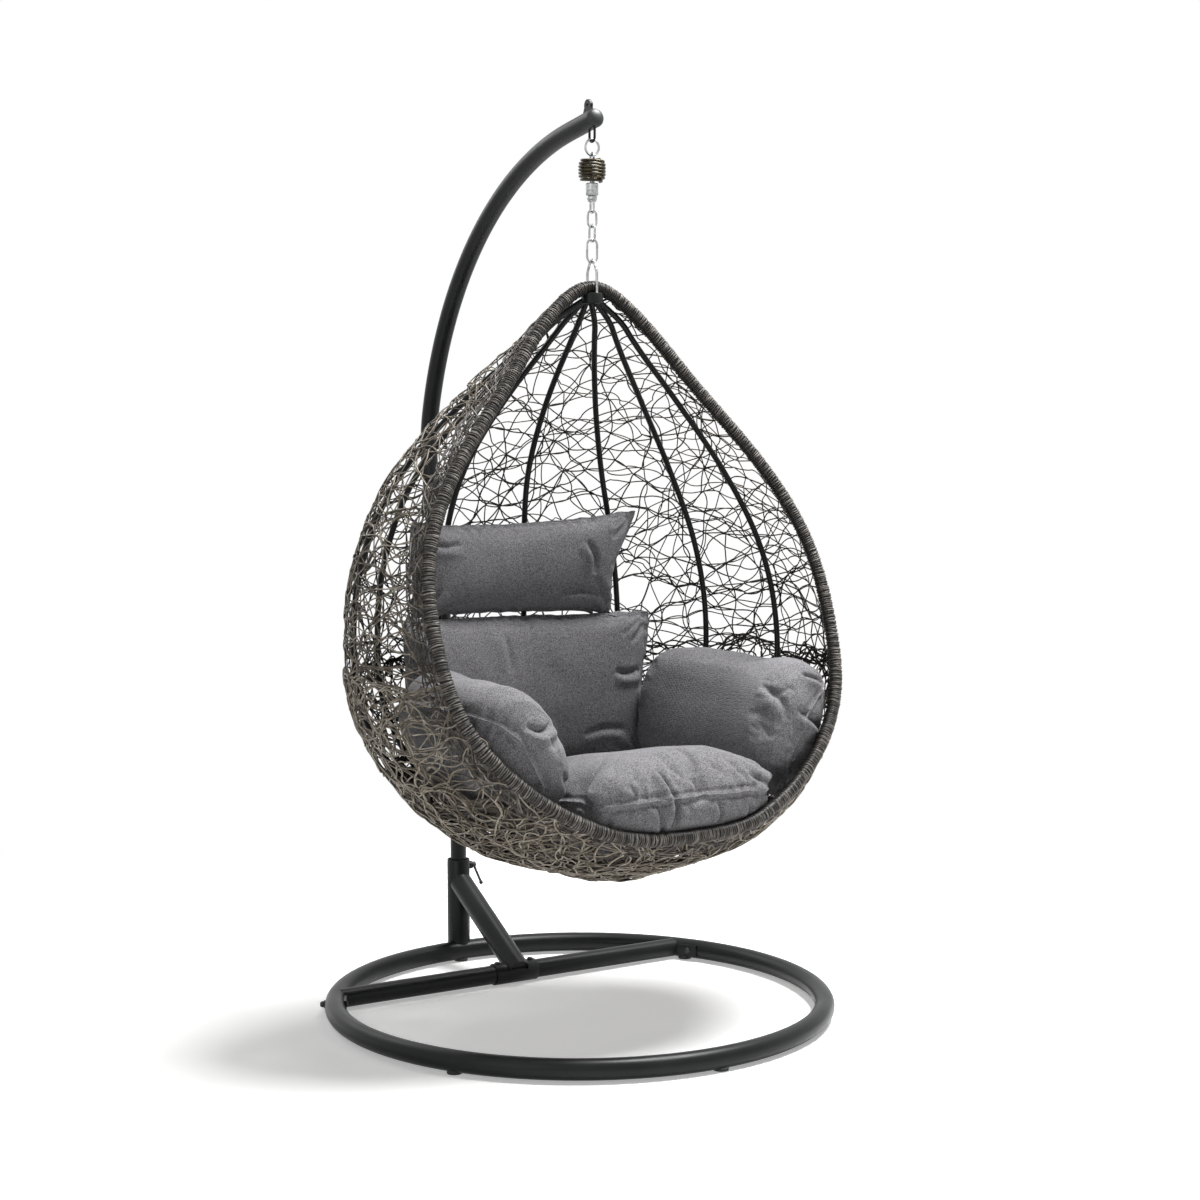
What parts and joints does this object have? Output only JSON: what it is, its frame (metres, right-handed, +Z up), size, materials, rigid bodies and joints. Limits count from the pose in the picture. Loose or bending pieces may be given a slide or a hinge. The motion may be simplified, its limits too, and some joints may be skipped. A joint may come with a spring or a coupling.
{
  "type": "hanging egg chair",
  "caption": "Garden hanging chair: a woven egg-shaped basket with cushions, hung on a spring and chain from a bent steel arm on a round base.",
  "frame": {"origin": "on the floor, under the middle of the whole chair's bounding box", "axes": "+Z up, +Y towards the post behind the basket, the seat faces -Y, +X to the right seen from the front"},
  "size_m": [1.1026, 1.1822, 1.855],
  "materials": {
    "frame_paint": "satin",
    "zinc": "satin",
    "spring_steel": "satin",
    "black_screw": "satin",
    "black_plastic": "matte",
    "foot_rubber": "matte",
    "wicker": "satin",
    "rim_wrap": "satin",
    "cushion_fabric": "matte"
  },
  "bodies": {
    "stand": {"base_ring": "frame_paint", "foot_pads": "foot_rubber", "crossbar": "frame_paint", "crossbar_bolts": "zinc", "crossbar_nuts": "zinc", "post_socket": "frame_paint", "socket_bushes": "black_plastic", "brace": "frame_paint", "brace_screws": "black_screw", "arm_lower": "frame_paint", "arm_upper": "frame_paint", "arm_joint_bolt": "zinc", "arm_cap": "black_plastic", "top_lug": "frame_paint", "hanging_staple": "frame_paint"},
    "clamp": {"clamp_lever": "black_screw"},
    "hanger": {"hanger_ring": "zinc"},
    "spring_head": {"spring_top_eye": "zinc", "spring": "spring_steel"},
    "swivel_barrel": {"swivel_body": "zinc"},
    "swivel_pin": {"swivel_eye": "zinc", "swivel_collar": "zinc"},
    "link_1": {"chain_link_1": "zinc"},
    "link_2": {"chain_link_2": "zinc"},
    "link_3": {"hanging_link": "zinc"},
    "basket": {"basket_loop": "frame_paint", "top_hub": "frame_paint", "foot_hub": "frame_paint", "rim_hoop": "rim_wrap", "wicker_shell": "wicker", "front_rib": "frame_paint", "seat_cushion": "cushion_fabric", "back_cushion": "cushion_fabric", "head_pillow": "cushion_fabric", "arm_cushion_right": "cushion_fabric", "arm_cushion_left": "cushion_fabric", "rib_1": "frame_paint", "rib_2": "frame_paint", "rib_3": "frame_paint", "rib_4": "frame_paint", "rib_5": "frame_paint", "rib_6": "frame_paint", "rib_7": "frame_paint"}
  },
  "joints": [
    {"name": "clamp_turn", "type": "hinge", "parent": "stand", "child": "clamp", "pos_m": [0.03, 0.44686, 0.213], "axis": [1, 0, 0], "range_deg": [-150, 30]},
    {"name": "hanger_swing", "type": "hinge", "parent": "stand", "child": "hanger", "pos_m": [0, -0.11414, 1.7705], "axis": [0, 1, 0], "range_deg": [-10, 10]},
    {"name": "eye_swing", "type": "hinge", "parent": "hanger", "child": "spring_head", "pos_m": [0, -0.11414, 1.7439], "axis": [1, 0, 0], "range_deg": [-12, 0.4]},
    {"name": "spring_stretch", "type": "slide", "parent": "spring_head", "child": "swivel_barrel", "axis": [0, 0, -1], "range_m": [0, 0.025], "stiffness_N_per_m": 40000, "springref_m": -0.006, "deforming": ["spring"]},
    {"name": "swivel_turn", "type": "hinge", "parent": "swivel_barrel", "child": "swivel_pin", "pos_m": [0, -0.11414, 1.665], "axis": [0, 0, 1], "continuous": true},
    {"name": "link_1_swing", "type": "hinge", "parent": "swivel_pin", "child": "link_1", "pos_m": [0, -0.11414, 1.6311], "axis": [0, 1, 0], "range_deg": [-1, 1]},
    {"name": "link_2_swing", "type": "hinge", "parent": "link_1", "child": "link_2", "pos_m": [0, -0.11414, 1.60275], "axis": [1, 0, 0], "range_deg": [-3, 3]},
    {"name": "link_3_swing", "type": "hinge", "parent": "link_2", "child": "link_3", "pos_m": [0, -0.11414, 1.5744], "axis": [0, 1, 0], "range_deg": [-1, 1]},
    {"name": "basket_swing", "type": "hinge", "parent": "link_3", "child": "basket", "pos_m": [0, -0.11414, 1.53305], "axis": [1, 0, 0], "range_deg": [-8, 3]}
  ]
}
